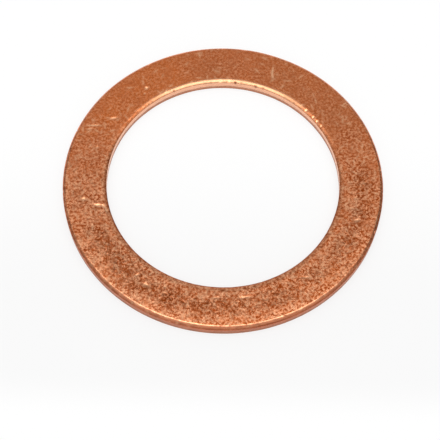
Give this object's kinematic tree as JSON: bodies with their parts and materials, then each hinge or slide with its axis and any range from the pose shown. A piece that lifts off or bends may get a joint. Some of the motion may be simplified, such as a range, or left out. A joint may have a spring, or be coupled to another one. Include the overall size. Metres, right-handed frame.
{
  "type": "sealing ring",
  "caption": "Flat copper sealing ring with a round bore, rolled-over upper edges and sheared rims, laid between two faces to seal a threaded joint.",
  "frame": {"origin": "centre of the underside, on the axis of the bore", "axes": "+Z along the ring's axis, from the underside to the face with the rolled-over edges; the ring is round, so +X and +Y are free, and the camera of the picture stands towards -Y"},
  "size_m": [0.022, 0.022, 0.0009],
  "materials": {
    "copper": "tumbled copper, slightly oxidised, satin"
  },
  "bodies": {
    "root": {"sealing_ring": "copper"}
  },
  "joints": []
}
